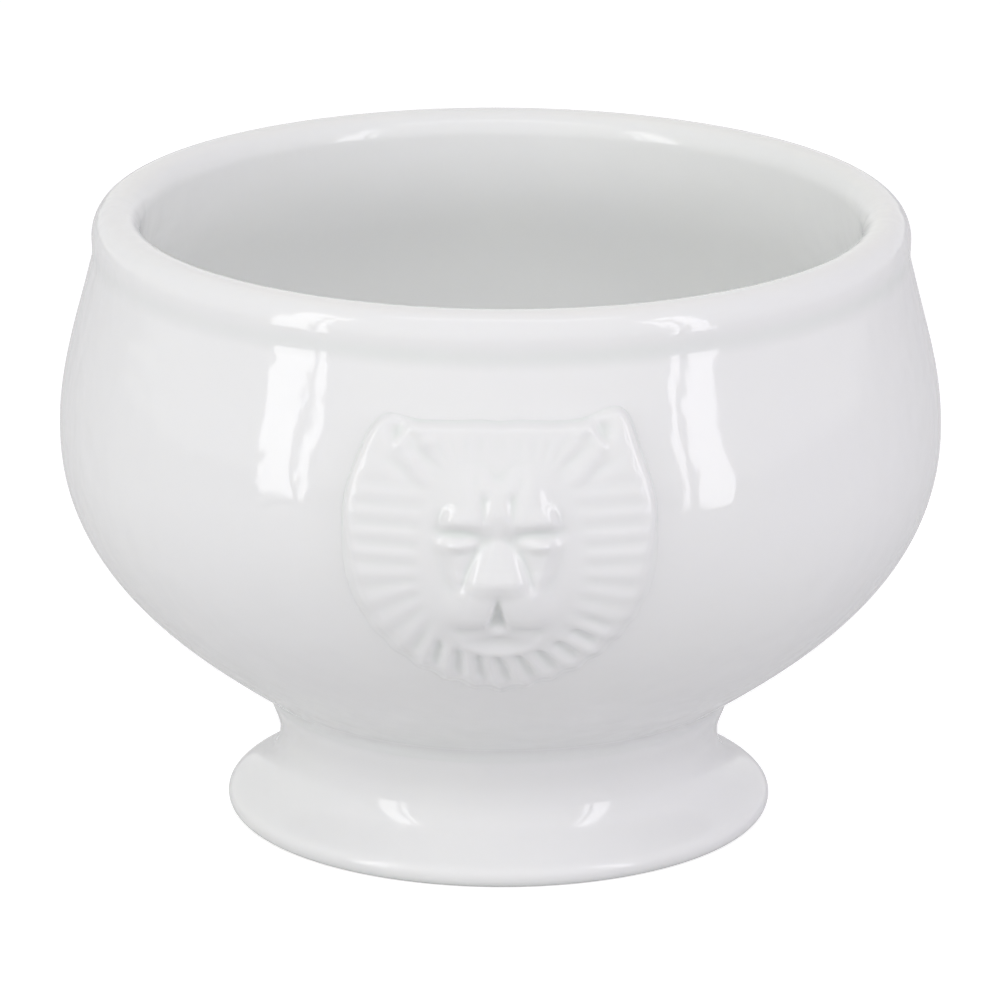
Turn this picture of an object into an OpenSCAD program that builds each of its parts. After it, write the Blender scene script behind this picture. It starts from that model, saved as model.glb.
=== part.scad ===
// Footed porcelain soup bowl with two lion masks, in millimetres.
// It stands on Z = 0 with its axis on Z, and one mask faces the front, along -Y.
// The bowl, its hollow foot, the slip that lutes them and the two sprigged masks are separate solids.

/* [Bowl] */
// Height from the table to the crest of the lip
bowl_h = 91.5; // [80:0.5:110]
// Outer diameter at the widest part of the belly
belly_d = 129.5; // [118:0.5:150]
// Height of the widest part of the belly
belly_z = 58.5; // [54:0.5:62]
// Thickness of the wall
wall = 5; // [3.5:0.1:6.5]
// Thickness of the floor at its centre
floor_t = 6; // [4:0.1:8]

/* [Lip] */
// Outer diameter of the rolled lip
lip_d = 119.6; // [112:0.2:126]
// Diameter of the mouth inside the lip
mouth_d = 105.5; // [98:0.5:110]
// Height of the lip from its groove to its crest
lip_h = 6; // [4.5:0.1:8.5]
// Depth of the groove under the lip
groove_depth = 0.2; // [0.2:0.1:1.5]

/* [Foot] */
// Diameter over the edge of the foot
foot_d = 80.4; // [74:0.2:90]
// Diameter of the waist of the foot
neck_d = 65; // [60:0.5:68]
// Height of the waist of the foot
neck_z = 12; // [10:0.5:13]
// Height of the edge where the bowl's flank ends on the foot
seat_z = 19; // [17.5:0.5:22]
// Diameter where the bowl's flank ends on the foot
seat_d = 70; // [69:0.5:74]
// Thickness of the foot's wall at its waist
foot_wall = 5; // [3.5:0.1:7]
// Width of the bare ring that the foot stands on
ring_w = 3.2; // [2:0.1:4.5]
// Thickness of the slip between the foot and the bowl
slip_t = 0.5; // [0.3:0.1:1]

/* [Lion masks] */
// Width of a mask over its mane, measured round the wall
mask_w = 45; // [36:0.5:50]
// Distance from the groove under the lip down to a mask's middle
mask_drop = 28.5; // [25:0.1:30]
// Height of the mane above the wall
mane_relief = 1.8; // [1.2:0.1:2.6]
// Height of the mane's ridges
ridge_relief = 0.7; // [0.2:0.1:1.2]
// Height scale of the face above the mane
face_relief = 1.5; // [0.8:0.1:2.5]
// Thickness of the slip under a mask
bed_t = 0.3; // [0.2:0.1:0.6]

/* [Hidden] */
glaze_white = "#eceae6";
slip_white = "#ded9d0";
turn_fn = 180;

// Radii and heights that follow from the sizes above.
belly_r = belly_d / 2;
lip_r = lip_d / 2;
mouth_r = mouth_d / 2;
foot_r = foot_d / 2;
neck_r = neck_d / 2;
seat_r = seat_d / 2;
groove_r = lip_r - groove_depth;
groove_z = bowl_h - lip_h;
mask_z = groove_z - mask_drop;

// The flank leaves the foot at this angle above the horizontal.
flank_angle = 33;
// The underside inside the foot is a shallow power curve that meets the flank at its own angle.
under_power = 3;
under_rise = seat_r * tan(flank_angle) / under_power;
base_z = seat_z - under_rise;

// Handles of the flank, shoulder and lip curves, as shares of the spans that they cross.
flank_start_share = 0.6;
flank_end_share = 0.43;
shoulder_start_share = 0.38;
shoulder_end_share = 0.36;
lip_low_share = 0.45;
crest_in_share = 0.46;
round_share = 0.552;

// Steps along each curve of the turned outlines.
curve_steps = 16;
lip_steps = 8;
under_steps = 10;

function bezier(a, b, c, d, steps, first = 0) =
    [for (i = [first:steps]) let (t = i / steps, s = 1 - t)
        s * s * s * a + 3 * s * s * t * b + 3 * s * t * t * c + t * t * t * d];
function quarter(a, corner, d, steps) =
    bezier(a, a + round_share * (corner - a), d + round_share * (corner - d), d, steps, 1);
function under_z(r) = base_z + under_rise * pow(r / seat_r, under_power);
function reversed(list) = [for (i = [len(list) - 1:-1:0]) list[i]];

// The turned outline of the outside, from the middle of the underside to the crest of the lip.
underside = [for (i = [0:under_steps]) let (r = seat_r * i / under_steps) [r, under_z(r)]];
flank_end = [belly_r, belly_z];
flank_drop = belly_z - seat_z;
flank_reach = belly_r - seat_r;
flank = bezier([seat_r, seat_z],
    [seat_r + flank_start_share * flank_reach, seat_z + flank_start_share * flank_reach * tan(flank_angle)],
    [belly_r, belly_z - flank_end_share * flank_drop], flank_end, curve_steps, 1);
shoulder_rise = groove_z - belly_z;
shoulder_in = belly_r - groove_r;
shoulder = bezier(flank_end,
    [belly_r, belly_z + shoulder_start_share * shoulder_rise],
    [groove_r + shoulder_in * shoulder_end_share, groove_z - shoulder_rise * shoulder_end_share],
    [groove_r, groove_z], curve_steps, 1);
wall_line = concat(flank, shoulder);

// The lip rolls out over its groove, over its crest and down into the mouth.
lip_mid_z = groove_z + lip_h * lip_low_share;
crest_r = mouth_r + (lip_r - mouth_r) * crest_in_share;
mouth_z = bowl_h - (lip_h - lip_h * lip_low_share) * crest_in_share;
lip_outline = concat(
    bezier([groove_r, groove_z], [lip_r - groove_depth * crest_in_share, groove_z],
        [lip_r, lip_mid_z - (lip_mid_z - groove_z) * lip_low_share], [lip_r, lip_mid_z], lip_steps, 1),
    quarter([lip_r, lip_mid_z], [lip_r, bowl_h], [crest_r, bowl_h], lip_steps),
    quarter([crest_r, bowl_h], [mouth_r, bowl_h], [mouth_r, mouth_z], lip_steps));

// The inside follows the outside at the wall's thickness, with a bowed floor.
well_r = belly_r - wall;
floor_z = base_z + floor_t;
well_drop = belly_z - floor_z;
well_flat_share = 0.62;
well_round_share = 0.5;
well_shoulder_share = 0.45;
well_line = concat(
    bezier([mouth_r, mouth_z], [mouth_r, mouth_z - (mouth_z - belly_z) * well_shoulder_share],
        [well_r, belly_z + (mouth_z - belly_z) * well_shoulder_share], [well_r, belly_z], curve_steps, 1),
    bezier([well_r, belly_z], [well_r, belly_z - well_round_share * well_drop],
        [well_flat_share * well_r, floor_z], [0, floor_z], curve_steps, 1));

module bowl() {
    color(glaze_white)
        rotate_extrude($fn = turn_fn)
            polygon(concat(underside, wall_line, lip_outline, well_line));
}

// The foot's collar ends under the bowl inside the flank's edge, on a bed of slip.
collar_r = seat_r - slip_t;
bore_r = neck_r - foot_wall;
// The slip is wiped into a small fillet past the collar on both sides.
fillet_w = slip_t * 0.8;
flare_start_share = 0.45;
flare_end_share = 0.55;
// Rounding over the foot's edge, height of the edge's widest line, and rounding down to the ring.
edge_round = 2.2;
edge_crown = 1.6;
heel_round = 1.2;
collar_steps = 4;
foot_steps = 12;
function seam_z(r) = under_z(r) - slip_t;
collar_line = [for (i = [0:collar_steps])
    let (r = bore_r + (collar_r - bore_r) * i / collar_steps) [r, seam_z(r)]];
edge_top = [foot_r - edge_round, edge_crown + edge_round];
waist = [neck_r, neck_z];
// The flare from the collar to the waist stays under the seam that the foot is luted along.
collar_handle_r = neck_r + (collar_r - neck_r) * flare_start_share;
collar_handle_share = 0.44;
waist_handle_share = 0.62;
heel_r = foot_r - heel_round;
ring_in_r = heel_r - ring_w;
hollow_r = ring_in_r - heel_round;
hollow_z = edge_crown;
hollow_rise = neck_z - hollow_z;
foot_outline = concat(
    collar_line,
    bezier([collar_r, seam_z(collar_r)],
        [collar_handle_r, seam_z(collar_handle_r) - (seam_z(collar_handle_r) - neck_z) * collar_handle_share],
        [neck_r, neck_z + (seam_z(neck_r) - neck_z) * waist_handle_share], waist, foot_steps, 1),
    bezier(waist, [neck_r, neck_z - (neck_z - edge_top[1]) * flare_start_share],
        [edge_top[0] - (edge_top[0] - neck_r) * flare_end_share, edge_top[1] + edge_crown * flare_end_share],
        edge_top, foot_steps, 1),
    quarter(edge_top, [foot_r, edge_top[1]], [foot_r, edge_crown], lip_steps),
    quarter([foot_r, edge_crown], [foot_r, 0], [heel_r, 0], lip_steps),
    [[ring_in_r, 0]],
    quarter([ring_in_r, 0], [hollow_r, 0], [hollow_r, hollow_z], lip_steps),
    bezier([hollow_r, hollow_z], [hollow_r, hollow_z + hollow_rise * flare_start_share],
        [bore_r, neck_z - hollow_rise * flare_start_share], [bore_r, neck_z], foot_steps, 1));

module foot() {
    color(glaze_white)
        rotate_extrude($fn = turn_fn)
            polygon(foot_outline);
}

// The slip fills the seam between the collar and the bowl, and its wiped edge stands a little proud.
module foot_slip() {
    top_line = [for (i = [0:collar_steps])
        let (r = bore_r - fillet_w + (collar_r - bore_r + 2 * fillet_w) * i / collar_steps) [r, under_z(r)]];
    color(slip_white)
        rotate_extrude($fn = turn_fn)
            polygon(concat(reversed(top_line), collar_line));
}

// Radius of the outer wall at a height, read from the straight spans that the wall is turned from.
wall_table = [for (p = wall_line) [p[1], p[0]]];
function wall_radius(z) = lookup(z, wall_table);
// Lean of the wall's outward normal above the horizontal, in degrees.
lean_step = mask_w / 200;
function wall_lean(z) = atan((wall_radius(z - lean_step) - wall_radius(z + lean_step)) / (2 * lean_step));

// A point of a mask: u runs round the wall, v is the height over the mask's middle, h stands off the wall.
function on_wall(u, v, h) =
    let (z = mask_z + v, lean = wall_lean(z), turn = u / belly_r * 180 / PI,
        r = wall_radius(z) + h * cos(lean))
    [r * sin(turn), -r * cos(turn), z + h * sin(lean)];

// Reach of the mane from the mask's middle, as shares of half the mask's width by angle above the side.
mane_reach_shares = [[-90, 0.99], [-70, 0.965], [-45, 0.975], [-20, 0.985], [0, 1], [16, 1.02], [30, 1.07],
    [37, 1.11], [43, 1.19], [48, 1.235], [51, 1.225], [54, 1.15], [57, 1.045], [63, 0.98], [72, 0.92],
    [90, 0.875]];

// Ridges of the mane run level beside the face, and fan out under the ears and in the beard.
ridge_side_share = 0.49;
ridge_top_share = 0.22;
side_ridges = 4;
corner_ridges = 5;
top_ridges = 2.2;
beard_ridges = 8;
axis_share = 0.001;
function ridge_phase(x, y) = y < 0
    ? beard_ridges * atan2(-y, abs(x)) / 90
    : side_ridges * min(y, ridge_side_share) / ridge_side_share
        + corner_ridges * atan2(max(y - ridge_side_share, 0), max(abs(x) - ridge_top_share, axis_share)) / 90
        + top_ridges * (ridge_top_share - min(abs(x), ridge_top_share)) / ridge_top_share;
function ridge_wave(x, y) = sqrt(0.5 - 0.5 * cos(360 * ridge_phase(x, y)));
function smooth(t) = let (s = min(max(t, 0), 1)) s * s * (3 - 2 * s);

// The beard's edge is scalloped by the ridges that end there.
scallop_share = 0.03;
function mane_reach(angle) = let (low = smooth(-sin(angle)))
    lookup(asin(sin(angle)), mane_reach_shares)
        * (1 - scallop_share * low * (1 - ridge_wave(cos(angle), sin(angle))));

// Swells and hollows of the carving: across, up, half width, half height, turn, and height as a share of
// the face's relief. Places and sizes are shares of half the mask's width, and each is mirrored.
carving_shares = [
    [0, -0.02, 0.4, 0.52, 0, 0.7],
    [0.19, 0.33, 0.19, 0.07, -6, 0.8],
    [0.17, 0.5, 0.09, 0.14, 8, 0.6],
    [0, 0.46, 0.05, 0.13, 0, 0.5],
    [0.085, 0.38, 0.025, 0.1, 0, -0.6],
    [0.25, 0.24, 0.17, 0.045, 0, -1.1],
    [0.235, 0.19, 0.08, 0.035, 0, 0.6],
    [0.29, 0.07, 0.1, 0.09, 0, 0.6],
    [0.16, 0.05, 0.05, 0.1, 12, -0.5],
    [0, 0.12, 0.09, 0.2, 0, 1.1],
    [0, -0.04, 0.13, 0.09, 0, 0.8],
    [0.17, -0.21, 0.14, 0.1, -20, 1.1],
    [0, -0.25, 0.03, 0.1, 0, -0.9],
    [0.15, -0.365, 0.17, 0.03, -6, -0.9],
    [0, -0.405, 0.1, 0.035, 0, 0.6],
    [0, -0.52, 0.16, 0.05, 0, -0.6],
    [0, -0.6, 0.26, 0.035, 0, 0.5],
    [0.8, 0.87, 0.08, 0.11, 0, 0.8],
    [0.66, 0.84, 0.06, 0.08, 0, -0.9],
    [0.57, 0.86, 0.045, 0.06, 0, 0.6]];
function swell(x, y, s) =
    let (dx = abs(x) - s[0], dy = y - s[1], c = cos(s[4]), n = sin(s[4]),
        a = (dx * c + dy * n) / s[2], b = (dy * c - dx * n) / s[3])
    s[5] * exp(-a * a - b * b);
function total(list, i = 0) = i < len(list) ? list[i] + total(list, i + 1) : 0;

// Height of the carving over the wall, at a point and its share of the way out to the mane's edge.
face_w_share = 0.5;
face_h_share = 0.62;
face_blend_share = 0.3;
edge_fall_share = 0.09;
edge_share = 0.2;
beard_thin_share = 0.4;
function carving(x, y, out) =
    let (face = norm([x / face_w_share, y / face_h_share]),
        rim = smooth((1 - out) / edge_fall_share),
        plate = mane_relief * (1 - beard_thin_share * smooth(-y)),
        edge = mane_relief * edge_share,
        ridge = ridge_relief * smooth((face - 1) / face_blend_share) * (ridge_wave(x, y) - 1),
        face_h = face_relief * total([for (s = carving_shares) swell(x, y, s)]))
    edge + rim * max(plate - edge + ridge + face_h, bed_t);

// A mask is a closed fan of rings about its middle, with fewer points on the rings near the middle.
// Its edge sits on the wall, and a shallow pocket in its back holds the slip.
mask_spokes = 160;
face_ring_count = 13;
face_edge_share = 0.58;
mane_ring_shares = [0.64, 0.71, 0.78, 0.85, 0.91, 0.955, 1];
front_ring_shares = concat(
    [for (k = [0:face_ring_count]) face_edge_share * k / face_ring_count], mane_ring_shares);
pocket_share = 0.935;
bed_reach_share = 0.92;
bed_ring_count = 6;
bed_ring_shares = [for (k = [0:bed_ring_count]) bed_reach_share * k / bed_ring_count];
half_w = mask_w / 2;
// Curved faces that meet are kept this far apart.
bed_gap = bed_t / 6;
function front_spokes(out) = out > 0.59 ? mask_spokes : out > 0.25 ? mask_spokes / 2
    : out > 0.12 ? mask_spokes / 4 : out > 0.07 ? mask_spokes / 8 : out > 0 ? mask_spokes / 16 : 1;
function bed_spokes(out) = out > 0.95 ? mask_spokes : out > 0.5 ? mask_spokes / 2
    : out > 0.2 ? mask_spokes / 4 : out > 0 ? mask_spokes / 8 : 1;

// One ring at its share of the way out; without a height it has the carving's own.
function fan_ring(spokes, out, h) = [for (i = [0:spokes - 1])
    let (angle = 360 * i / spokes, reach = mane_reach(angle) * out,
        x = reach * cos(angle), y = reach * sin(angle))
    on_wall(half_w * x, half_w * y, is_undef(h) ? bed_gap + carving(x, y, out) : h)];
function front_fan() = [for (out = front_ring_shares) fan_ring(front_spokes(out), out, undef)];
function bed_fan(h) = [for (out = bed_ring_shares) fan_ring(bed_spokes(out), out, h)];

// Triangles between two rings, one of which may have half of the other's points or be a single point.
function flipped(faces) = [for (f = faces) [f[0], f[2], f[1]]];
function band(p, a, q, b) = a > b ? flipped(band(q, b, p, a))
    : a == 1 ? [for (i = [0:b - 1]) [p, q + (i + 1) % b, q + i]]
    : a == b ? [for (i = [0:a - 1]) let (n = (i + 1) % a, right = abs(i + 0.5 - a / 2) > a / 4)
        each right ? [[p + i, p + n, q + i], [p + n, q + n, q + i]]
            : [[p + i, p + n, q + n], [p + i, q + n, q + i]]]
    : [for (i = [0:a - 1]) let (n = (i + 1) % a, m = q + 2 * i, w = q + (2 * i + 2) % b)
        each [[p + i, m + 1, m], [p + i, p + n, m + 1], [p + n, w, m + 1]]];

// The rings are listed from the front's middle out to the edge, and then in to the middle of the back.
module closed_fan(rings) {
    starts = [for (k = 0, s = 0; k < len(rings); s = s + len(rings[k]), k = k + 1) s];
    polyhedron([for (ring = rings) each ring], [for (k = [0:len(rings) - 2])
        each band(starts[k], len(rings[k]), starts[k + 1], len(rings[k + 1]))]);
}

module lion_head(turn) {
    color(glaze_white)
        rotate([0, 0, turn])
            closed_fan(concat(
                front_fan(),
                [fan_ring(mask_spokes, 1, bed_gap), fan_ring(mask_spokes / 2, pocket_share, bed_gap)],
                reversed(bed_fan(bed_t + bed_gap))));
}

module lion_slip(turn) {
    color(slip_white)
        rotate([0, 0, turn])
            closed_fan(concat(bed_fan(bed_t), reversed(bed_fan(bed_gap))));
}

bowl();
foot();
foot_slip();
lion_head(0);  // front_lion_head
lion_head(180);  // rear_lion_head
lion_slip(0);  // front_lion_slip
lion_slip(180);  // rear_lion_slip
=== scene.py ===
"""A footed soup bowl in white glazed porcelain, with a lion mask on its front and back.

Lengths are in metres, and in millimetres where the masks are carved. The bowl's axis is Z, the front
mask faces -Y, and the table is Z = 0.
"""
import math

import bmesh
import bpy
import numpy as np
from mathutils import Matrix, Vector, noise


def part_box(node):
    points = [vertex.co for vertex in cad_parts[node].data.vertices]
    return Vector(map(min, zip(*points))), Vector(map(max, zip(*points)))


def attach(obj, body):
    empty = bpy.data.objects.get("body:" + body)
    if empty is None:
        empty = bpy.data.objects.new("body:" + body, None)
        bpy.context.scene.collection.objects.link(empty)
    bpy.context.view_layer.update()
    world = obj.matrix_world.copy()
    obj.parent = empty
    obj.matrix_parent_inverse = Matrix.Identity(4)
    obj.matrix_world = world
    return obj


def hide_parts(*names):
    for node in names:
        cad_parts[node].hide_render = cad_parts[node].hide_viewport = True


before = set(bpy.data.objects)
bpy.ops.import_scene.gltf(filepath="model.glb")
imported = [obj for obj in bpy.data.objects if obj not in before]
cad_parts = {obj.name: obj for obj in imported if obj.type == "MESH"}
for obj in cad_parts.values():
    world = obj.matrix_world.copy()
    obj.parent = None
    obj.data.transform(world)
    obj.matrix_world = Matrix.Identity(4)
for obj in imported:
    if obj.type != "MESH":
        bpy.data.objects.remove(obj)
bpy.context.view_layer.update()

# The bowl is porcelain, jiggered in one with its shoulder and rolled lip, and turned smooth.
# A clear gloss glaze covers it inside and out. The glaze stretches over the lip's crest, which looks
# a little warmer there, and lies thicker in the groove under the lip and on the floor. Inside the well
# its colour is painted lighter and a touch greener: this is painted light, not a colour of the glaze.
bowl_low, bowl_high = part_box("bowl")
belly_r = bowl_high.x
lip_top_z = bowl_high.z
under_z = bowl_low.z
belly_z = 0.0585
seat_r = 0.035
seat_z = 0.019
seat_round = 0.0011
under_clear = 0.0006
flank_slope = math.tan(math.radians(33))
lip_r = 0.0598
lip_height = 0.006
lip_side_rise = 0.0018
mouth_r = 0.05275
mouth_drop = 0.0036
groove_r = 0.0596
groove_z = lip_top_z - lip_height
groove_reach = 0.0019
groove_sink = 0.0002
lip_reach = 0.0017
wall_t = 0.005
floor_t = 0.006
spin_steps = 300
weld_gap = 1e-6
crease_angle = 0.7


def span(a, b, c, d, steps):
    """Points along a curve from a to d with the handles b and c, without its first point."""
    t = np.linspace(0, 1, steps + 1)[1:, None]
    a, b, c, d = (np.array(p, float) for p in (a, b, c, d))
    return (1 - t) ** 3 * a + 3 * t * (1 - t) ** 2 * b + 3 * t * t * (1 - t) * c + t ** 3 * d


def quarter(a, corner, d, steps):
    """A quarter round from a to d inside its corner."""
    handle_share = 0.552
    a, corner, d = (np.array(p, float) for p in (a, corner, d))
    return span(a, a + handle_share * (corner - a), d + handle_share * (corner - d), d, steps)


def heading(a, b):
    """The direction from a to b, one long."""
    return (b - a) / np.linalg.norm(b - a)


def under_height(r):
    """Height of the bowl's underside inside the foot."""
    return under_z + (seat_z - under_z) * (r / seat_r) ** 3


def turned(name, outline, closed):
    """A mesh object spun from an outline of radii and heights, as a jigger's profile does it."""
    bm = bmesh.new()
    points = [bm.verts.new((r, 0, z)) for r, z in outline]
    ends = zip(points, points[1:] + points[:1]) if closed else zip(points, points[1:])
    edges = [bm.edges.new(pair) for pair in ends]
    bmesh.ops.spin(bm, geom=points + edges, cent=(0, 0, 0), axis=(0, 0, 1), dvec=(0, 0, 0),
        angle=2 * math.pi, steps=spin_steps, use_merge=True, use_normal_flip=False, use_duplicate=False)
    bmesh.ops.remove_doubles(bm, verts=bm.verts[:], dist=weld_gap)
    return finished(name, bm)


def finished(name, bm):
    """Turns a bmesh into a smooth object with its faces pointing outwards."""
    bmesh.ops.recalc_face_normals(bm, faces=bm.faces[:])
    for edge in bm.edges:
        edge.smooth = edge.calc_face_angle(0) < crease_angle
    mesh = bpy.data.meshes.new(name)
    bm.to_mesh(mesh)
    bm.free()
    mesh.polygons.foreach_set("use_smooth", [True] * len(mesh.polygons))
    piece = bpy.data.objects.new(name, mesh)
    bpy.context.scene.collection.objects.link(piece)
    return piece


flank_reach = belly_r - seat_r
flank_drop = belly_z - seat_z
shoulder_rise = groove_z - belly_z
shoulder_in = belly_r - groove_r
flank = span((seat_r, seat_z), (seat_r + 0.6 * flank_reach, seat_z + 0.6 * flank_reach * flank_slope),
    (belly_r, belly_z - 0.43 * flank_drop), (belly_r, belly_z), 48)
shoulder = span((belly_r, belly_z), (belly_r, belly_z + 0.38 * shoulder_rise),
    (groove_r + 0.36 * shoulder_in, groove_z - 0.36 * shoulder_rise), (groove_r, groove_z), 30)
wall_line = np.vstack([flank, shoulder])

# The groove is wiped into a soft hollow, so the shoulder's last points give way to a curve, and the lip
# rolls over from it into the mouth without an edge.
wiped_points = 4
groove_start = shoulder[-wiped_points]
groove_run = heading(shoulder[-wiped_points - 1], groove_start)
lip_side_z = groove_z + lip_side_rise
crest_r = 0.5 * (lip_r + mouth_r)
mouth_z = lip_top_z - mouth_drop
lip = np.vstack([
    span(groove_start, groove_start + groove_run * groove_reach - (groove_sink, 0),
        (lip_r, lip_side_z - lip_reach), (lip_r, lip_side_z), 14),
    quarter((lip_r, lip_side_z), (lip_r, lip_top_z), (crest_r, lip_top_z), 16),
    quarter((crest_r, lip_top_z), (mouth_r, lip_top_z), (mouth_r, mouth_z), 16)])
well_r = belly_r - wall_t
floor_z = under_z + floor_t
well_rise = mouth_z - belly_z
well_drop = belly_z - floor_z
well = np.vstack([
    span((mouth_r, mouth_z), (mouth_r, mouth_z - 0.45 * well_rise), (well_r, belly_z + 0.45 * well_rise),
        (well_r, belly_z), 28),
    span((well_r, belly_z), (well_r, belly_z - 0.5 * well_drop), (0.62 * well_r, floor_z), (0, floor_z), 56)])
under_r = np.linspace(0, seat_r - under_clear, 14)
underside = np.column_stack([under_r, under_height(under_r)])
clear_flank = flank[flank[:, 0] > seat_r + seat_round]
bowl = turned("glazed_bowl", np.vstack([underside, clear_flank, shoulder[:-wiped_points], lip, well]), False)

# The jigger leaves the wall a little uneven, in long swings round it and shorter ones up it. Each swing
# has its length round the wall, its length up it, and its start.
short_swing = (0.026, 0.0085, 3.7)
long_swing = (0.045, 0.03, 9.1)
wall_dip = 0.00006
calm_r, free_r = 0.037, 0.045
lip_calm_low_z, lip_calm_z = 0.084, 0.087


def uneven(x, y, z, swing):
    """How one swing runs at a place."""
    round_length, up_length, start = swing
    return noise.noise(Vector((x / round_length, y / round_length, z / up_length + start)))


def dip(x, y, z, depth):
    """How far the jigger left the wall inside its true radius at a place."""
    return depth * (1 - 0.7 * uneven(x, y, z, short_swing) - 0.5 * uneven(x, y, z, long_swing))


def waver(piece, depth, freedom):
    """Moves a turned wall in by its dips, where its freedom at a radius and height is over 0."""
    for vertex in piece.data.vertices:
        x, y, z = vertex.co
        radius = math.hypot(x, y)
        share = freedom(radius, z)
        if share > 0:
            pull = share * dip(x, y, z, depth)
            vertex.co.x -= pull * x / radius
            vertex.co.y -= pull * y / radius


def ramp(value, low, high):
    """Rises smoothly from 0 at low to 1 at high."""
    t = min(max((value - low) / (high - low), 0), 1)
    return t * t * (3 - 2 * t)


# How far each point lies behind the outer wall tells the well from the outside, for the painted light in the
# well.
well_starts, well_full = 0.002, 0.005
floor_slack = 0.0005
inner = bowl.data.attributes.new("inner", "FLOAT", "POINT")
for vertex, share in zip(bowl.data.vertices, inner.data):
    behind = np.interp(vertex.co.z, wall_line[:, 1], wall_line[:, 0]) - vertex.co.xy.length
    share.value = ramp(behind, well_starts, well_full) if vertex.co.z > floor_z - floor_slack else 0

waver(bowl, wall_dip, lambda r, z: ramp(r, calm_r, free_r) * (1 - 0.6 * ramp(z, lip_calm_low_z, lip_calm_z)))


class Level:
    """A socket of a material. Sums, differences and products of levels add Math nodes."""

    def __init__(self, socket):
        self.socket = socket

    def make(self, kind, settings, values, output=0):
        """Adds a node: its settings first, then the values or links of its sockets."""
        tree = self.socket.id_data
        node = tree.nodes.new(kind)
        for name, value in settings.items():
            setattr(node, name, value)
        for key, value in values.items():
            if isinstance(value, Level):
                tree.links.new(value.socket, node.inputs[key])
            else:
                node.inputs[key].default_value = value
        return Level(node.outputs[output])

    def math(self, operation, first, second):
        return self.make("ShaderNodeMath", {"operation": operation}, {0: first, 1: second})

    def __add__(self, other):
        return self.math("ADD", self, other)

    def __radd__(self, other):
        return self.math("ADD", other, self)

    def __rsub__(self, other):
        return self.math("SUBTRACT", other, self)

    def __mul__(self, other):
        return self.math("MULTIPLY", self, other)

    def __rmul__(self, other):
        return self.math("MULTIPLY", other, self)

    def between(self, low, high):
        """A smooth step of this level from 0 at low to 1 at high."""
        return self.make("ShaderNodeMapRange", {"interpolation_type": "SMOOTHSTEP", "clamp": True},
            {"Value": self, "From Min": low, "From Max": high})

    def noise(self, size, detail=2.0):
        """Noise on this place, with grains of a size in metres."""
        return self.make("ShaderNodeTexNoise", {"noise_dimensions": "3D"},
            {"Vector": self, "Scale": 1 / size, "Detail": detail, "Roughness": 0.5})

    def blend(self, first, second, kind="MIX"):
        """The first colour where this level is 0 and the second, or their product, where it is 1."""
        return self.make("ShaderNodeMix", {"data_type": "RGBA", "blend_type": kind},
            {"Factor": self, 6: first, 7: second}, 2)


def clay(name):
    """A new material, with its shader, the place on the piece, and the parts of that place."""
    material = bpy.data.materials.new(name)
    material.use_nodes = True
    shader = material.node_tree.nodes["Principled BSDF"]
    place = Level(shader.outputs[0]).make("ShaderNodeTexCoord", {}, {}, 3)
    axes = [place.make("ShaderNodeSeparateXYZ", {}, {"Vector": place}, n) for n in range(3)]
    return material, shader, place, axes


def fixed(shader, values):
    """Sets what doesn't vary over a surface on the shader's own sockets."""
    for socket, value in values.items():
        shader.inputs[socket].default_value = value


def joined(level, socket):
    """Links a level to a socket of the shader."""
    socket.id_data.links.new(level.socket, socket)


def linked(shader, socket):
    """The level that a socket of the shader already has."""
    return Level(shader.inputs[socket].links[0].from_socket)


glaze_white = (0.868, 0.87, 0.866, 1)
glaze_thin = (0.885, 0.878, 0.855, 1)
# Painted light: the well's colour is multiplied by this, lighter and a touch greener, in place of light the
# well doesn't get.
painted_well_light = (1.034, 1.04, 1.03, 1)


def tinted(red, green, blue):
    """The glaze's white with its parts multiplied."""
    return glaze_white[0] * red, glaze_white[1] * green, glaze_white[2] * blue, 1


def glazed(shader, place, pool, thin=None, ripple_depth=0.00004):
    """A gloss glaze on white clay: greyer green where it pools, warmer where it runs thin."""
    drift_size, breath_size, ripple_size, fine_ripple_size = 0.03, 0.012, 0.0085, 0.0028
    coat = pool.blend(glaze_white, tinted(0.93, 0.965, 0.94))
    if thin is not None:
        coat = thin.blend(coat, glaze_thin)
    drift = place.noise(drift_size).between(0.35, 0.65)
    joined((drift * 0.5).blend(coat, tinted(0.992, 0.99, 1.004)), shader.inputs["Base Color"])
    breath = place.noise(breath_size, 3.0).between(0.3, 0.7)
    joined(0.045 + 0.03 * breath, shader.inputs["Roughness"])
    fixed(shader, {"IOR": 1.5, "Subsurface Weight": 0.12, "Subsurface Radius": (1.0, 0.95, 0.85),
        "Subsurface Scale": 0.0012})
    ripple = place.noise(ripple_size, 1.0) + place.noise(fine_ripple_size, 1.0) * 0.14
    skin = ripple.make("ShaderNodeBump", {}, {"Strength": 1.0, "Distance": ripple_depth, "Height": ripple})
    joined(skin, shader.inputs["Normal"])


bowl_glaze, shader, place, (across, along, height) = clay("bowl_glaze")
outer_low_r, outer_high_r = 0.0577, 0.0587
groove_below, groove_above = 0.0022, 0.002
floor_low, floor_high = floor_z + 0.001, floor_z + 0.016
crest_depth = 0.0012
bowl_ripple = 0.00025
outer = (across * across + along * along).between(outer_low_r ** 2, outer_high_r ** 2)
up_to_groove = height.between(groove_z - groove_below, groove_z)
past_groove = height.between(groove_z, groove_z + groove_above)
in_groove = up_to_groove * (1 - past_groove) * outer
on_floor = 1 - height.between(floor_low, floor_high)
on_crest = height.between(lip_top_z - crest_depth, lip_top_z)
glazed(shader, place, in_groove * 0.5 + on_floor * 0.5, on_crest * 0.8, bowl_ripple)
# Painted light: inside the well the glaze's colour is multiplied lighter and slightly greener.
painted_well_share = place.make("ShaderNodeAttribute", {"attribute_name": "inner"}, {}, 2)
joined(painted_well_share.blend(linked(shader, "Base Color"), painted_well_light, "MULTIPLY"), shader.inputs["Base Color"])
bowl.data.materials.append(bowl_glaze)
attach(bowl, "root")
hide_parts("bowl")

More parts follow.
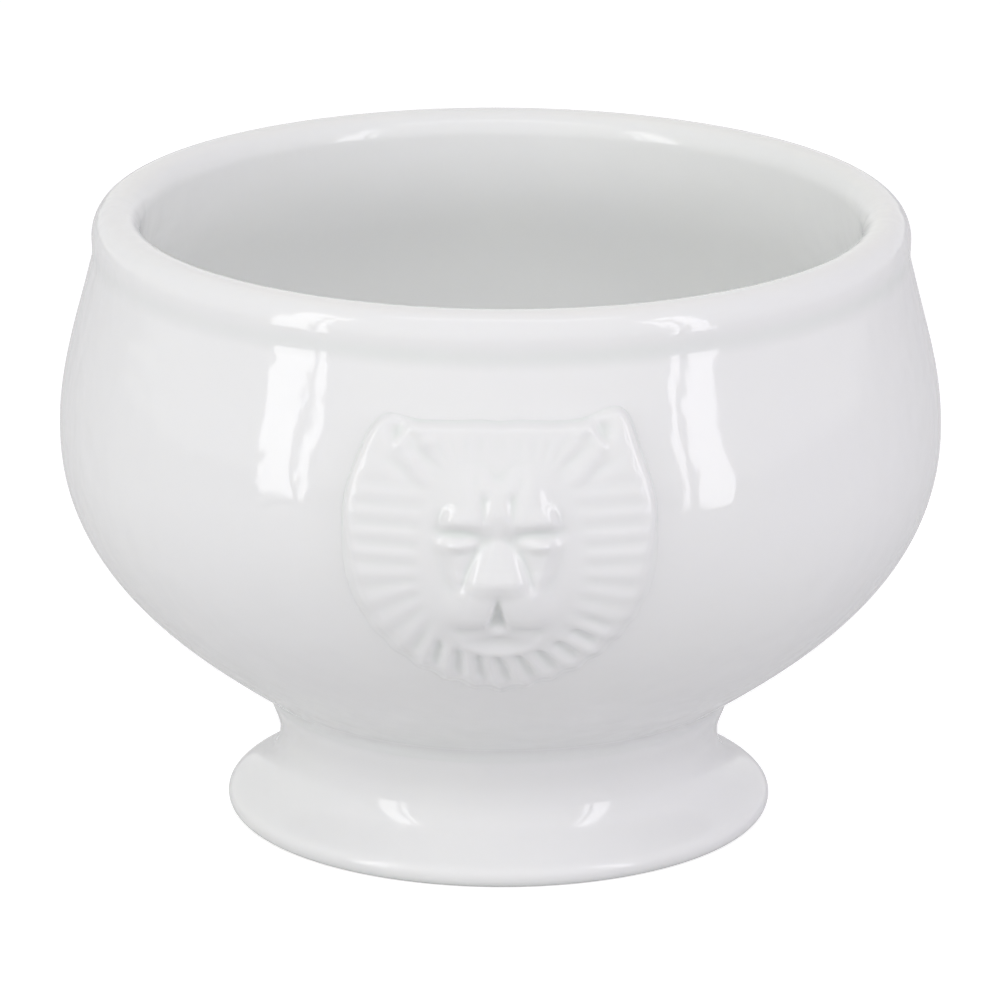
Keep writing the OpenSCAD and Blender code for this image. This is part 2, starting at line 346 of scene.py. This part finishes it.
# The foot is a hollow pedestal, jiggered by itself, trimmed and luted under the bowl while both were
# leather hard. It is glazed inside and out, and wiped and ground bare on the ring that it stands on.
foot_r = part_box("foot")[1].x
neck_r = 0.0325
neck_z = 0.0115
neck_reach = 0.0022
bore_r = 0.0275
edge_round = 0.0022
edge_crown = 0.0016
edge_reach = 0.0013
crown_reach = 0.0011
heel_round = 0.0012
ring_w = 0.0032
collar_z = 0.0170
collar_r = 0.03395
collar_face = 0.0016
collar_slant = 0.0003
lute_gap = 0.0006
bore_z = under_height(bore_r)
collar_top = np.array((collar_r, collar_z))
collar_run = np.array((0.00018, 0.0012))
edge_top = np.array((foot_r - edge_round, edge_crown + edge_round))
flare_run = np.array((0.89, -0.456))
flare_reach = 0.003
heel_r = foot_r - heel_round
ring_in_r = heel_r - ring_w
hollow_r = ring_in_r - heel_round
hollow_rise = neck_z - edge_crown
foot_outline = np.vstack([
    [(bore_r, bore_z - lute_gap), (collar_r - collar_face, collar_z + collar_slant), collar_top],
    span(collar_top, collar_top - collar_run * 1.3, (neck_r, neck_z + neck_reach), (neck_r, neck_z), 14),
    span((neck_r, neck_z), (neck_r, neck_z - 0.62 * (neck_z - edge_top[1])),
        edge_top - flare_run * flare_reach, edge_top, 26),
    span(edge_top, edge_top + flare_run * edge_reach, (foot_r, edge_crown + crown_reach),
        (foot_r, edge_crown), 12),
    quarter((foot_r, edge_crown), (foot_r, 0), (heel_r, 0), 8),
    [(heel_r - ring_w * 0.5, 0), (ring_in_r, 0)],
    quarter((ring_in_r, 0), (hollow_r, 0), (hollow_r, edge_crown), 8),
    span((hollow_r, edge_crown), (hollow_r, edge_crown + 0.45 * hollow_rise),
        (bore_r, neck_z - 0.45 * hollow_rise), (bore_r, neck_z), 20)])
foot = turned("glazed_foot", foot_outline, True)
foot_dip = 0.00005
heel_calm_z, heel_free_z = 0.0006, 0.003
neck_free_z, seam_calm_z = 0.0145, 0.0165
waver(foot, foot_dip,
    lambda r, z: ramp(z, heel_calm_z, heel_free_z) * (1 - ramp(z, neck_free_z, seam_calm_z)) * 0.8)

foot_glaze, shader, place, (_, _, height) = clay("foot_glaze")
ground_low, ground_high = 0.00008, 0.00022
heel_pool_z = 0.0012
fired_grit = (0.72, 0.7, 0.66, 1)
bare = 1 - height.between(ground_low, ground_high)
glazed(shader, place, height.between(heel_pool_z, 0.0) * 0.6, bare)
grit = place.noise(0.0006, 4.0)
worn = (bare * grit.between(0.2, 0.8)).blend(glaze_white, fired_grit)
joined(bare.blend(linked(shader, "Base Color"), worn), shader.inputs["Base Color"])
joined(linked(shader, "Roughness") + bare * (0.55 + 0.15 * grit), shader.inputs["Roughness"])
foot.data.materials.append(foot_glaze)
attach(foot, "root")
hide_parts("foot")

# The slip that lutes the foot to the bowl is wiped round with a wet sponge into one soft line between
# the flank and the collar, outside and in, and the glaze runs over it.
flank_foot = clear_flank[0]
flank_run = heading(clear_flank[0], clear_flank[1])
flank_out = np.array((flank_run[1], -flank_run[0]))
lap_t = 0.00003
lap_w = 0.0005
seam_reach = 0.0013
on_collar = 0.0001
lute_in, lute_down, lute_up = 0.001, 0.0007, 0.0004
flank_in, flank_down = 0.0014, 0.0004
wipe_w = 0.0011
wipe_low, wipe_high = (-0.0001, -0.0002), (-0.0005, 0.0001)
lapped = flank_foot + flank_out * lap_t
bore_edge = np.array((bore_r, bore_z))
seam = np.vstack([
    [flank_foot + flank_run * lap_w - flank_out * lap_t, lapped],
    span(lapped, lapped - flank_run * seam_reach, collar_top + collar_run, collar_top, 10),
    [(collar_r - collar_face, collar_z + on_collar), bore_edge + (lute_in, -lute_down)],
    span(bore_edge - (0, wipe_w), bore_edge + wipe_low, bore_edge + wipe_high,
        (bore_r - wipe_w, under_height(bore_r - wipe_w)), 6),
    [bore_edge + (lute_in, lute_up), flank_foot - (flank_in, flank_down)]])
seam_ring = turned("foot_seam", seam, True)
slip_glaze, shader, place, (_, _, height) = clay("slip_glaze")
seam_pool_low, seam_pool_high = 0.018, 0.02
glazed(shader, place, height.between(seam_pool_high, seam_pool_low) * 0.4)
seam_ring.data.materials.append(slip_glaze)
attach(seam_ring, "root")
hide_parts("foot_slip")

# Each lion mask is a sprig, pressed in a plaster mould and stuck to the wall while it was damp. Its mane
# has a raised, rounded rim at the ears and sides, level ridges beside the face and a fluted beard, and
# the glaze rounds its edges and gathers in its hollows. Its carving is in millimetres from its middle.
mm = 0.001
mask_half = 22.5
mask_z = 0.057
mask_skirt = 0.62
mask_sunk = 0.55
mask_columns, mask_rows = 225, 223
grid_over = 1.03
soft_rounds, pool_rounds = 10, 14
full_pool = 0.22
plate_t = 1.7
beard_drop = 0.45
cut_floor = 0.5
face_half_wide, face_up, face_down = 10.6, 14.8, 13.2
nose_u = -0.25
reach_shares = ((-90, 0.99), (-70, 0.965), (-45, 0.975), (-20, 0.985), (0, 1), (12, 1.02), (18, 1.05),
    (30, 1.1), (37, 1.13), (43, 1.19), (48, 1.235), (51, 1.225), (54, 1.15), (57, 1.045), (63, 0.98),
    (72, 0.92), (90, 0.875))


def rise(t):
    """Rises smoothly from 0 to 1 as t does, over an array."""
    t = np.clip(t, 0, 1)
    return t * t * (3 - 2 * t)


def at(value, *pairs):
    """Reads a curve of places and sizes."""
    places, sizes = zip(*pairs)
    return np.interp(value, places, sizes)


def swell(u, v, centre, size, turn=0, power=2.0):
    """A mound of height 1 with half sizes, flatter on top as its power rises."""
    c, s = math.cos(math.radians(turn)), math.sin(math.radians(turn))
    du, dv = u - centre[0], v - centre[1]
    a, b = (du * c + dv * s) / size[0], (dv * c - du * s) / size[1]
    return np.exp(-(a * a + b * b) ** (power / 2))


def off_line(u, v, start, end):
    """Distance from a straight line between two points."""
    run_u, run_v = end[0] - start[0], end[1] - start[1]
    from_u, from_v = u - start[0], v - start[1]
    t = np.clip((from_u * run_u + from_v * run_v) / (run_u ** 2 + run_v ** 2), 0, 1)
    return np.hypot(from_u - t * run_u, from_v - t * run_v)


def stroke(u, v, points, half):
    """A ridge of height 1 along a line of points, with rounded ends."""
    away = np.min([off_line(u, v, start, end) for start, end in zip(points, points[1:])], axis=0)
    return np.exp(-(away / half) ** 2)


def inside(u, v, ring):
    """Distance inside a closed outline, negative outside it."""
    away = np.full(u.shape, np.inf)
    within = np.zeros(u.shape, bool)
    for start, end in zip(ring, np.roll(ring, -1, axis=0)):
        away = np.minimum(away, off_line(u, v, start, end))
        if start[1] != end[1]:
            slant = (end[0] - start[0]) / (end[1] - start[1])
            within ^= ((start[1] > v) != (end[1] > v)) & (u < start[0] + (v - start[1]) * slant)
    return np.where(within, away, -away)


def slope_angle(u, v):
    """Angle of a place above the level through the mask's middle, alike on both sides, in degrees."""
    return np.degrees(np.arctan2(v, np.abs(u)))


def face_oval(u, v):
    """Grows outwards from the mask's middle and is 1 on the face's outline."""
    side = np.abs(u)
    above = (side / face_half_wide) ** 2.4 + (np.maximum(v, 0) / face_up) ** 2.4
    below = (side / face_half_wide) ** 2 + (np.minimum(v, 0) / face_down) ** 2
    return np.where(v > 0, above, below)


def flutes(u, v):
    """Waves of the mane's ridges: 1 on a ridge and 0 in the cut between two."""
    x, y = u / mask_half, v / mask_half
    top_half, corner_y = 0.22, 0.49
    low = np.minimum(y, 0)
    swirl = x - 0.35 * np.maximum(np.hypot(x, low) - 0.66, -0.1) * rise(-y / 0.35)
    fall = np.degrees(np.arctan2(-low, np.abs(swirl)))
    beard = at(fall, (0, 0), (45, 4.15), (90, 8))
    side = 4 * np.minimum(y, corner_y) / corner_y
    corner_run = np.maximum(np.abs(x) - top_half, 0.001)
    corner = 5 * np.degrees(np.arctan2(np.maximum(y - corner_y, 0), corner_run)) / 90
    top = 2.2 * (top_half - np.minimum(np.abs(x), top_half)) / top_half
    phase = np.where(y < 0, beard, side + corner + top)
    return 0.5 - 0.5 * np.cos(2 * np.pi * phase)


def mask_outline():
    """Points round the mask: a level top, two ears, and notches between the tufts of the beard."""
    ear_places, ear_spread = (50, 130), 7
    right_grows, left_shrinks = 0.012, 0.04
    notch = 0.03
    degrees = np.arange(0, 360, 1.0)
    spokes = np.radians(degrees)
    reach = mask_half * at(np.degrees(np.arcsin(np.sin(spokes))), *reach_shares)
    right_ear, left_ear = (np.exp(-((degrees - ear) / ear_spread) ** 2) for ear in ear_places)
    reach = reach * (1 + right_grows * right_ear - left_shrinks * left_ear)
    for _ in range(10):
        reach = (np.roll(reach, 1) + 2 * reach + np.roll(reach, -1)) / 4
    wave = flutes(reach * np.cos(spokes), reach * np.sin(spokes))
    reach = reach * (1 - notch * rise(-np.sin(spokes)) * (1 - wave))
    return np.column_stack([reach * np.cos(spokes), reach * np.sin(spokes)])


def mane(u, v, edge):
    """The plate, with level flutes beside the face, faint ones above it, and deep cuts in the beard."""
    angle = slope_angle(u, v)
    out = np.hypot(u, v)
    cut = 1 - flutes(u, v)
    beard = rise((-angle - at(u, (-3, 38), (3, 24))) / 22)
    deep = at(angle, (-60, 0.18), (-5, 0.24), (20, 0.23), (34, 0.13), (50, 0.06), (70, 0.16))
    deep = deep * rise((face_oval(u, v) - 0.95) / 0.6) * rise((edge - 1.0) / 2.2)
    short_cuts = beard * np.exp(-(np.abs(out - 16.5) / 2.15) ** 4)
    height = plate_t - beard_drop * rise(-v / 20) - deep * cut - short_cuts * cut ** 1.3
    height = cut_floor + np.maximum(height - cut_floor, 0) + 0.04 * np.minimum(height - cut_floor, 0)
    return height + 0.12 * beard * np.exp(-((out - 20.0) / 1.3) ** 2) * (1 - cut)


def rim(u, v, edge):
    """The rim at the sides and ears: a low swell that is rounded over before the steep outer edge."""
    angle = slope_angle(u, v)
    share = rise((angle + 14) / 14) * at(angle, (58, 1), (66, 0.2))
    roll = np.clip(2.9 - edge, 0, 2.7)
    bend = 0.4
    rolled = 0.125 * (np.sqrt(roll ** 2 + bend ** 2) - bend)
    return share * (0.1 * np.exp(-((edge - 3.1) / 1.8) ** 2) - rolled)


def ears(u, v):
    """A soft cup in each ear, a bent ridge at its inner side, tufts below it, and knobs on the left."""
    side = np.abs(u)
    cups = 0.95 * swell(side, v, (14.7, 18.5), (1.5, 1.8), 14, 2.6)
    ridges = 0.5 * stroke(side, v, ((14.4, 16.4), (13.1, 18.9), (11.2, 18.2)), 0.6)
    tufts = 0.25 * swell(side, v, (11.8, 13.2), (1.0, 2.6), -48)
    partings = 0.2 * swell(side, v, (10.3, 14.6), (0.8, 2.6), -48)
    partings = partings + 0.2 * swell(side, v, (14, 13), (0.8, 2.2), -60)
    knobs = 0.4 * swell(u, v, (-10.1, 16.9), (0.9, 0.8)) + 0.25 * swell(u, v, (-12.2, 14.4), (0.6, 1.1))
    return ridges + tufts + knobs - cups - partings


def forehead(u, v):
    """One block that rises to the brow, in two lobes over the eyes and a bump between them."""
    side = np.abs(u)
    wide = at(v, (5, 8.2), (8, 7.6), (11, 6.7), (13, 5.9), (14.5, 5.4))
    crown = 14.4 - 1.9 * np.exp(-((u + 0.2) / 1.7) ** 2) - 0.9 * rise((side - 4.2) / 2.5)
    climb = np.clip((crown - v) / 5.6, 0, 1)
    middle = np.exp(-((u + 0.2) / 1.9) ** 2)
    soft = rise((v - 6.6) / 2.4)
    low_sides = at(wide - side, (-0.3, 0), (0.9, 0.75), (2.6, 1))
    fall = (1 - soft) * low_sides + soft * rise((wide + 2.2 - side) / 8.6)
    brow = rise((v - 4.5 + 2.6 * middle) / (1.7 + 4.2 * middle))
    block = 1.45 * climb * (2 - climb) * fall * brow
    lobes = 0.2 * (swell(u, v, (-5.0, 9.8), (1.7, 3.2), 6) + swell(u, v, (4.7, 9.9), (1.7, 3.2), -6)) * brow
    hollows = 0.3 * (swell(u, v, (-3.4, 11.2), (0.8, 2.0)) + swell(u, v, (2.8, 11.6), (0.8, 1.9)))
    bump = 0.2 * swell(u, v, (-0.3, 10.6), (1.0, 1.4), 0, 2.2)
    return block + lobes + bump - hollows


def frown(u, v):
    """Depth of the two folds that run down the forehead and narrow above the nose."""
    away = np.abs(u - np.where(u < -0.2, -2.15, 1.75))
    half = at(v, (5.6, 0.25), (9.3, 1.05), (11.5, 1.2))
    fade = rise((v - 5.2) / 1.0) * rise((11.3 - v) / 2.4)
    return 0.75 * fade * np.maximum(1.15 * half - away, 0)


def eyes(u, v):
    """The eyes in shallow sockets under the brow, with a crease below each."""
    side = np.abs(u)
    sockets = 0.6 * swell(side, v, (6.2, 5.0), (2.7, 0.9), 0, 2.6)
    left_eye = 1.1 * swell(u, v, (-5.6, 3.6), (2.0, 1.05), 6, 2.2)
    right_eye = 1.1 * swell(u, v, (5.2, 3.5), (2.0, 1.05), -6, 2.2)
    creases = 0.2 * stroke(side, v, ((3.4, 2.7), (5.2, 2.3), (7.2, 2.9)), 0.4)
    return left_eye + right_eye - sockets - creases


def cheeks_and_nose(u, v):
    """Cheeks that fall away outwards, and a bridge between them that widens to the tip of the nose."""
    side = np.abs(u)
    off_nose = np.abs(u - nose_u)
    cheek_half = at(v, (-6, 4.2), (-3, 4.8), (-0.6, 6.0), (3.6, 7.3))
    full = at(v, (-6.5, 0.1), (-4, 0.45), (-2.4, 0.95), (-1.2, 1.1), (-0.2, 0.78), (3.0, 0.76), (4.6, 0.1))
    flare = at(v, (-4.6, 5.9), (-3.4, 4.9), (-1.9, 4.2), (0, 3.6), (2.2, 2.8), (4.0, 2.4))
    tall = at(v, (-3.5, 2.2), (-1.4, 2.3), (2.4, 1.3), (3.2, 0.95), (4.2, 0.3), (8, 0.0))
    cheeks = full * rise((cheek_half + 2.1 - side) / 2.9) * rise((v + 7) / 3.5)
    cheeks = cheeks * (1 - 0.75 * rise((flare + 1.9 - off_nose) / 2.2) * rise((v + 3.6) / 2.0))
    tip = rise((v + 5.3 - 0.1 * off_nose) / 4.2)
    shoulders = np.maximum(off_nose - flare + 3.1, 0) ** 2 / 10.5
    nose = np.maximum(tall - shoulders, 0) * tip * rise((flare + 0.5 - off_nose) / 0.8)
    wings = 0.14 * swell(off_nose, v, (4.7, -3.3), (1.4, 0.7), -35, 2.2)
    return np.maximum(nose, cheeks) + wings


def muzzle(u, v):
    """Two pads with a wedge split between them, an arched mouth, the lower lip and the chin."""
    side = np.abs(u)
    pads = 1.6 * swell(side, v, (3.2, -5.6), (4.3, 3.3), -14, 2.6)
    split = at(v, (-8.6, 1.25), (-7.6, 1.1), (-4.3, 0.15)) - np.abs(u - nose_u)
    wedge = 1.35 * rise(split / 0.7 + 0.4) * rise((v + 9.1) / 1.2) * rise((-3.3 - v) / 1.4)
    mouth = 0.45 * stroke(side, v, ((1.2, -9.2), (3.0, -9.3), (5.6, -9.6)), 1.0)
    lower_lip = 0.45 * swell(u, v, (-0.2, -9.4), (1.6, 0.8), 0, 2.2)
    under_lip = 0.6 * swell(u, v, (-0.2, -11.4), (3.6, 1.1), 0, 2.6)
    chin = 0.26 * stroke(side, v, ((6.4, -10.0), (5.2, -12.1), (2.4, -13.2), (0, -13.4)), 0.4)
    return pads - wedge - mouth + lower_lip - under_lip + chin


def carving(u, v):
    """Height of the mask over the wall, and the distance inside its outline."""
    edge = inside(u, v, mask_outline())
    dome = 0.25 * rise(1.35 - face_oval(u, v))
    height = mane(u, v, edge) + rim(u, v, edge) + ears(u, v) + dome
    height = height + forehead(u, v) - frown(u, v) + eyes(u, v) + cheeks_and_nose(u, v) + muzzle(u, v)

    # The plate falls to the wall: steeply at the sides and ears, softly in the beard.
    sunk, lap = 0.02, 0.22
    skirt_drop, skirt_w = 0.3, 0.55
    shelf = at(slope_angle(u, v), (-30, 3.4), (0, 2.6), (16, 1.0), (28, 0.8), (60, 0.8), (66, 1.2))
    height = (height + sunk) * rise((edge + lap) / (shelf + lap)) - sunk
    return height - skirt_drop * rise(-edge / skirt_w), edge


def spread(board, share, times):
    """Evens out a board of heights: each place moves by a share towards its four neighbours."""
    for _ in range(times):
        padded = np.pad(board, 1, mode="edge")
        around = (padded[:-2, 1:-1] + padded[2:, 1:-1] + padded[1:-1, :-2] + padded[1:-1, 2:]) / 4
        board = board + share * (around - board)
    return board


def lay(verts, height, turn):
    """Moves flat points of a mask on to the wall, standing off it by their heights."""
    flat = np.array([vert.co for vert in verts])
    z = mask_z + flat[:, 1] * mm
    step = 0.0003
    radius, above, below = (np.interp(z + up, wall_line[:, 1], wall_line[:, 0]) for up in (0, step, -step))
    lean = np.arctan2(below - above, 2 * step)
    round_wall = flat[:, 0] * mm / belly_r + turn
    radius = radius + height * mm * np.cos(lean)
    spots = np.column_stack([radius * np.sin(round_wall), -radius * np.cos(round_wall),
        z + height * mm * np.sin(lean)])
    for vert, (x, y, z) in zip(verts, spots):
        pull = dip(x, y, z, wall_dip) / math.hypot(x, y)
        vert.co = (x * (1 - pull), y * (1 - pull), z)


def lion_mask(name, turn):
    """One mask: a grid is carved, cut to the outline, laid on the wall and given its back."""
    bm = bmesh.new()
    bmesh.ops.create_grid(bm, x_segments=mask_columns - 1, y_segments=mask_rows - 1, size=1,
        matrix=Matrix.Diagonal((mask_half * grid_over, mask_half * grid_over, 1, 1)))
    flat = np.array([vert.co for vert in bm.verts])
    relief, edge = carving(flat[:, 0], flat[:, 1])
    relief = spread(relief.reshape(mask_rows, mask_columns), 0.5, soft_rounds)
    hollow = (spread(relief, 1.0, pool_rounds) - relief) / full_pool
    layer = bm.verts.layers.float.new("pool")
    for vert, depth in zip(bm.verts, np.clip(hollow, 0, 1).ravel()):
        vert[layer] = depth
    cut_away = [vert for vert, distance in zip(bm.verts[:], edge) if distance < -mask_skirt]
    bmesh.ops.delete(bm, geom=cut_away, context="VERTS")
    height = relief.ravel()[edge >= -mask_skirt]
    loose = [vert for vert in bm.verts if not vert.link_faces]
    front = bm.verts[:]
    grown = bmesh.ops.extrude_face_region(bm, geom=bm.faces[:])["geom"]
    back = [item for item in grown if isinstance(item, bmesh.types.BMVert)]
    lay(front, height, turn)
    lay(back, np.full(len(back), -mask_sunk), turn)
    bmesh.ops.delete(bm, geom=loose, context="VERTS")
    return finished(name, bm)


mask_glaze, shader, place, _ = clay("mask_glaze")
mask_ripple = 0.00001
glazed(shader, place, place.make("ShaderNodeAttribute", {"attribute_name": "pool"}, {}, 2), None, mask_ripple)
for side, turn in (("front", 0), ("rear", math.pi)):
    mask = lion_mask(side + "_lion_mask", turn)
    mask.data.materials.append(mask_glaze)
    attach(mask, "root")
    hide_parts(side + "_lion_head")

# The slip under each mask is a thin bed that squeezed flat when the sprig was pressed on. The mask's
# edge closes over it, so only its fired white clay is given here.
slip_clay, shader, place, _ = clay("luting_slip")
fired_slip = (0.78, 0.765, 0.74, 1)
joined(place.noise(0.0008, 4.0).blend(fired_slip, fired_grit), shader.inputs["Base Color"])
joined(0.6 + 0.2 * place.noise(0.0005, 3.0), shader.inputs["Roughness"])
for node in ("front_lion_slip", "rear_lion_slip"):
    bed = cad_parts[node]
    bed.data.materials.clear()
    bed.data.materials.append(slip_clay)

# The studio is a pale sweep of matt paper, two tall strip lamps on each side in front, a narrow panel
# overhead and a plain sky that shines most from 30 degrees up and from the front.
black = (0, 0, 0, 1)
white = (1, 1, 1, 1)
cool_white = (0.985, 0.975, 1, 1)
cool_sky = (0.955, 0.925, 1, 1)
paper_grey = (0.72, 0.72, 0.72, 1)
paper_glow = 0.58
paper_mirrored = 0.3
strip_away = 0.45
strip_tall = 0.53
strip_glow = 4.3
strip_fade = 0.035
overhead_away = 0.6
overhead_rise = math.radians(73)
overhead_wide, overhead_deep = 0.45, 0.045
overhead_glow = 3.8
overhead_fade = 0.005
sky_all_round = 0.86
sky_in_front = 0.38
bm = bmesh.new()
bmesh.ops.create_grid(bm, x_segments=2, y_segments=2, size=6)
table = finished("table", bm)
paper, shader, place, _ = clay("table_paper")
fixed(shader, {"Base Color": paper_grey, "Roughness": 1.0, "Specular IOR Level": 0.0,
    "Emission Strength": paper_glow})
camera_ray, glossy_ray = (place.make("ShaderNodeLightPath", {}, {}, n) for n in (0, 3))
joined((camera_ray + paper_mirrored * glossy_ray).blend(black, white), shader.inputs["Emission Color"])
table.data.materials.append(paper)


def panel(name, wide, tall, radiance, colour, fade):
    """A lamp's glowing panel, which fades out over its lowest part."""
    bm = bmesh.new()
    bmesh.ops.create_grid(bm, x_segments=1, y_segments=1, size=0.5,
        matrix=Matrix.Diagonal((wide, tall, 1, 1)))
    lamp = finished(name, bm)
    lamp.visible_camera = False
    glass, shader, _, (_, upward, _) = clay(name + "_glass")
    fixed(shader, {"Base Color": black, "Specular IOR Level": 0.0, "Emission Strength": radiance})
    lit = upward.between(-tall / 2, -tall / 2 + fade)
    joined(lit.blend(black, colour), shader.inputs["Emission Color"])
    lamp.data.materials.append(glass)
    return lamp


def strip(name, azimuth, wide, colour):
    """A strip lamp that stands on the table and faces the bowl, as wide as it looks from there in degrees."""
    lamp = panel(name, strip_away * math.radians(wide), strip_tall, strip_glow, colour, strip_fade)
    turn = math.radians(azimuth)
    lamp.location = (strip_away * math.sin(turn), -strip_away * math.cos(turn), strip_tall / 2)
    lamp.rotation_euler = (math.pi / 2, 0, turn)


strip("left_wide_strip", -55.8, 10, white)
strip("left_narrow_strip", -47.3, 3.0, white)
strip("right_wide_strip", 52.0, 8.4, cool_white)
strip("right_narrow_strip", 44.1, 2.4, cool_white)
overhead = panel("overhead_panel", overhead_wide, overhead_deep, overhead_glow, white, overhead_fade)
overhead.location = (0, -overhead_away * math.cos(overhead_rise), overhead_away * math.sin(overhead_rise))
overhead.rotation_euler = (math.pi / 2 - overhead_rise, 0, 0)

sky = bpy.data.worlds.new("sky")
bpy.context.scene.world = sky
sky.use_nodes = True
glow = sky.node_tree.nodes["Background"]
ray = Level(glow.outputs[0])
camera_ray, glossy_ray, through_ray = (ray.make("ShaderNodeLightPath", {}, {}, n) for n in (0, 3, 6))
direct = ray.math("MINIMUM", camera_ray + glossy_ray + through_ray, 1.0)
way = ray.make("ShaderNodeTexCoord", {}, {})
east, north, up = (way.make("ShaderNodeSeparateXYZ", {}, {"Vector": way}, n) for n in range(3))
climbs = up.math("MAXIMUM", up, 0.0)
in_front = up.math("MAXIMUM", 0 - north, 0.0)
soft = 4 * climbs * (1 - climbs) * (sky_all_round + sky_in_front * in_front)
joined(direct + (1 - direct) * soft, glow.inputs["Strength"])
cool = (1 - direct) * east.between(-0.2, 0.8)
joined(cool.blend(white, cool_sky), glow.inputs["Color"])

# The camera stands in front, a little above the lip and about 1.2 m away, as in the photograph. It is
# rolled a third of a degree, as the bowl's level lines are there.
aim = Vector((0, 0, 0.0464))
distance = 1.2
look_down = math.radians(17.2)
roll = math.radians(0.29)
lens = bpy.data.cameras.new("camera")
lens.lens = 293
lens.sensor_width = 36
camera = bpy.data.objects.new("camera", lens)
spot = aim + Vector((0, -distance * math.cos(look_down), distance * math.sin(look_down)))
camera.matrix_world = (Matrix.Translation(spot) @ Matrix.Rotation(math.pi / 2 - look_down, 4, "X")
    @ Matrix.Rotation(roll, 4, "Z"))
bpy.context.scene.collection.objects.link(camera)
bpy.context.scene.camera = camera
bpy.context.scene.view_settings.view_transform = "Standard"

bpy.context.view_layer.update()
